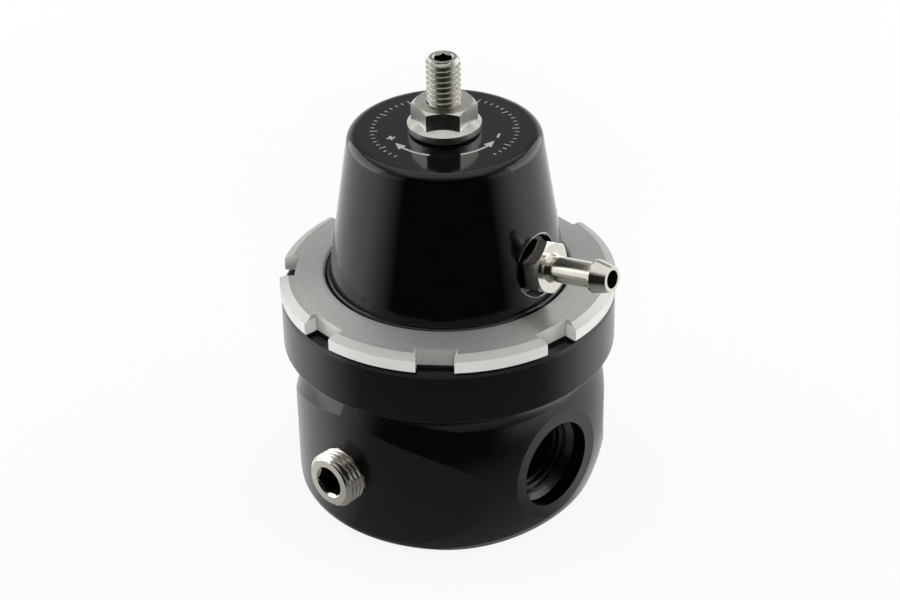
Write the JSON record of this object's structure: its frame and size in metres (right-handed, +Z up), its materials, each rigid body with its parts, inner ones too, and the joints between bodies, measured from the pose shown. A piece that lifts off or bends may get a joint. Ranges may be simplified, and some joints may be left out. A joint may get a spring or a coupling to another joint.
{
  "type": "fuel pressure regulator",
  "caption": "Round fuel pressure regulator with side ports, a return port in the base, a gauge plug, a notched lock ring and a conical spring cap with hose barb and adjuster screw.",
  "frame": {"origin": "centre of the base face, on the valve axis, midway between the bracket holes", "axes": "+Z up the adjuster screw, +X out of the inlet port, -Y out of the gauge port"},
  "size_m": [0.0652, 0.0618, 0.0844],
  "materials": {
    "black_body": "turned, black anodised, satin",
    "black_cap": "turned, black anodised, gloss",
    "machined_ring": "turned, clear anodised",
    "nickel_brass": "bright nickel plate",
    "plated_steel": "bright zinc-nickel plate",
    "plate_aluminium": "turned",
    "ball_steel": "ground and polished",
    "brass": "turned",
    "spring_steel": "drawn and oiled",
    "diaphragm_rubber": "fabric-reinforced rubber",
    "o_ring_rubber": "moulded",
    "ptfe": "skived"
  },
  "bodies": {
    "housing": {"body": "black_body", "lock_ring": "machined_ring", "slip_ring": "ptfe", "cap": "black_cap", "hose_barb": "nickel_brass", "gauge_plug": "nickel_brass", "diaphragm": "diaphragm_rubber", "valve_seat": "brass", "seat_o_ring": "o_ring_rubber", "main_spring": "spring_steel"},
    "valve": {"upper_plate": "plate_aluminium", "lower_plate": "plate_aluminium", "stem_nut": "plated_steel", "valve_ball": "ball_steel", "ball_retainer": "brass"},
    "spring_seat": {"spring_top_seat": "plate_aluminium", "pivot_ball": "ball_steel"},
    "adjuster": {"adjuster_screw": "plated_steel"},
    "nut_carrier": {"nut_seal": "ptfe"},
    "nut": {"lock_nut": "plated_steel"}
  },
  "joints": [
    {"name": "valve_lift", "type": "slide", "parent": "housing", "child": "valve", "axis": [0, 0, 1], "range_m": [0, 0.0012], "stiffness_N_per_m": 2000, "springref_m": -0.001, "deforming": ["diaphragm", "main_spring"]},
    {"name": "adjuster_feed", "type": "slide", "parent": "housing", "child": "spring_seat", "axis": [0, 0, 1], "range_m": [-0.004, 0.003], "deforming": ["main_spring"]},
    {"name": "adjuster_turn", "type": "hinge", "parent": "spring_seat", "child": "adjuster", "pos_m": [0, 0, 0.0705], "axis": [0, 0, 1], "range_deg": [-1440, 1080]},
    {"name": "nut_lift", "type": "slide", "parent": "housing", "child": "nut_carrier", "axis": [0, 0, 1], "range_m": [0, 0.002]},
    {"name": "nut_turn", "type": "hinge", "parent": "nut_carrier", "child": "nut", "pos_m": [0, 0, 0.0705], "axis": [0, 0, 1], "range_deg": [0, 720]}
  ],
  "couplings": [
    {"joint": "adjuster_turn", "follows": "adjuster_feed", "rad_per_m": 6283.2},
    {"joint": "nut_turn", "follows": "nut_lift", "rad_per_m": 6283.2}
  ]
}
